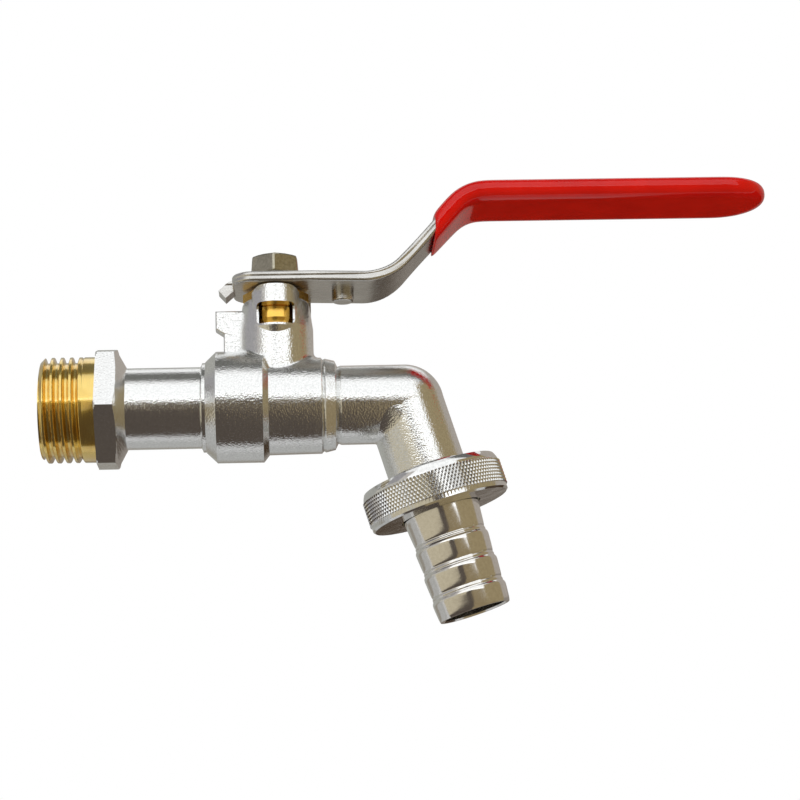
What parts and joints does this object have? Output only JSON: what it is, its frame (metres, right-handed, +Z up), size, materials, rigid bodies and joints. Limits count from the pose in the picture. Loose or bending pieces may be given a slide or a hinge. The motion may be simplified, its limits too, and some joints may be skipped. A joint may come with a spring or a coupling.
{
  "type": "garden ball valve tap",
  "caption": "Lever-operated garden ball valve tap with a male pipe thread inlet, a red dipped lever grip and an angled spout ending in a knurled union nut and barbed hose tail.",
  "frame": {"origin": "centre of the hexagon's face on the thread side, where the tap seats on its pipe fitting", "axes": "+X along the pipe away from the inlet thread, +Z up along the stem, lever over +X when open"},
  "size_m": [0.1474, 0.0286, 0.0884],
  "materials": {
    "nickel_plate": "satin nickel plate on a brass forging",
    "connector_plate": "satin nickel plate, thread left as raw brass",
    "ptfe": "white PTFE",
    "raw_brass": "turned brass",
    "ball_chrome": "hard chrome on brass",
    "zinc_steel": "zinc-plated steel strip",
    "red_pvc": "glossy dipped PVC",
    "washer_steel": "zinc-plated spring steel",
    "nut_steel": "zinc-plated steel",
    "union_chrome": "bright nickel plate, knurled rim",
    "black_rubber": "moulded rubber",
    "tail_chrome": "bright nickel plate on turned brass"
  },
  "bodies": {
    "body": {"valve_body": "nickel_plate", "inlet_connector": "connector_plate", "inlet_seat": "ptfe", "outlet_seat": "ptfe", "thrust_washer": "ptfe", "packing_ring_lower": "ptfe", "packing_ring_upper": "ptfe", "gland_nut": "raw_brass"},
    "handle": {"lever": "zinc_steel", "grip_sleeve": "red_pvc", "lock_washer": "washer_steel", "lever_nut": "nut_steel", "stem": "raw_brass", "ball": "ball_chrome"},
    "tail": {"hose_tail": "tail_chrome", "union_washer": "black_rubber"},
    "nut": {"union_nut": "union_chrome"}
  },
  "joints": [
    {"name": "lever_turn", "type": "hinge", "parent": "body", "child": "handle", "pos_m": [0.0354, 0, 0.02356], "axis": [0, 0, 1], "range_deg": [-90, 0]},
    {"name": "tail_travel", "type": "slide", "parent": "body", "child": "tail", "axis": [0.2874, 0, -0.9578], "range_m": [0, 0.00363]},
    {"name": "nut_turn", "type": "hinge", "parent": "tail", "child": "nut", "pos_m": [0.0607, 0, 0], "axis": [0.2874, 0, -0.9578], "range_deg": [0, 720]}
  ],
  "couplings": [
    {"joint": "nut_turn", "follows": "tail_travel", "rad_per_m": 3463.7}
  ]
}
